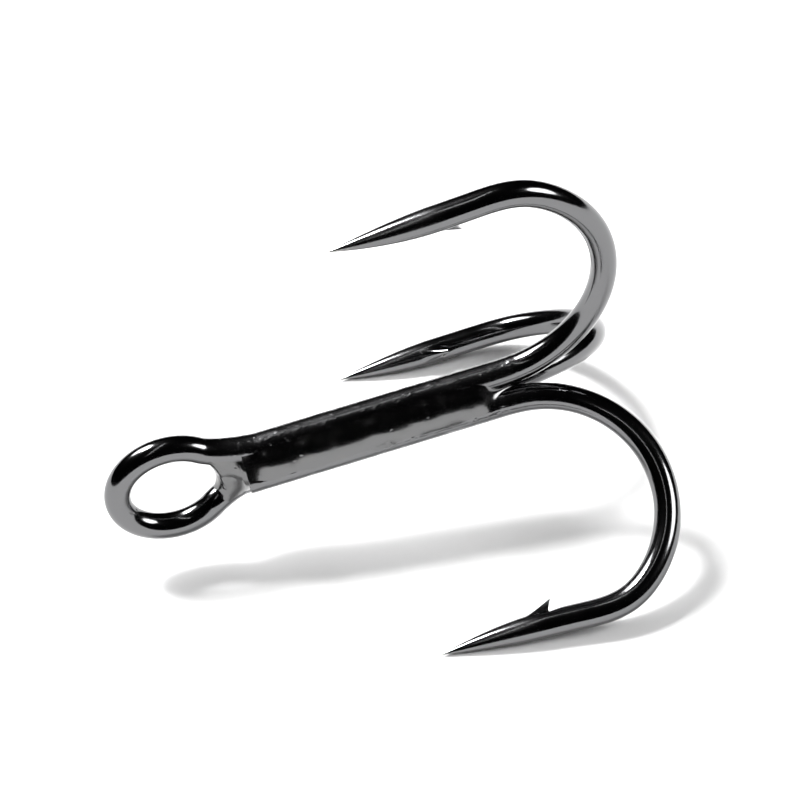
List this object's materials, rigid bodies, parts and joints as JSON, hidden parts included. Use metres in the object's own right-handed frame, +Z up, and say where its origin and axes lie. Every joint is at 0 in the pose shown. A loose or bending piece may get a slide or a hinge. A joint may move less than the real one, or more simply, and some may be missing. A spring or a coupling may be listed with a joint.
{
  "type": "treble hook",
  "caption": "Treble fishing hook: bent wire hooks with cut barbs, brazed side by side along a straight shank that ends in a closed oval eye.",
  "frame": {"origin": "on the level surface that the hook rests on, under the middle of its bounding box", "axes": "+Z up from that surface, +X along the level run of the shank from the eye towards the bends, front hook on the -Y side and rear hook on the +Y side"},
  "size_m": [0.0298, 0.0246, 0.0219],
  "materials": {
    "hook_wire": "black-nickel plated steel wire, bright",
    "braze": "brazing metal under the same black-nickel plating, a little uneven"
  },
  "bodies": {
    "root": {"double_hook": "hook_wire", "single_hook": "hook_wire", "braze_neck": "braze", "braze_front": "braze", "braze_under": "braze", "braze_rear": "braze", "braze_core": "braze"}
  },
  "joints": []
}
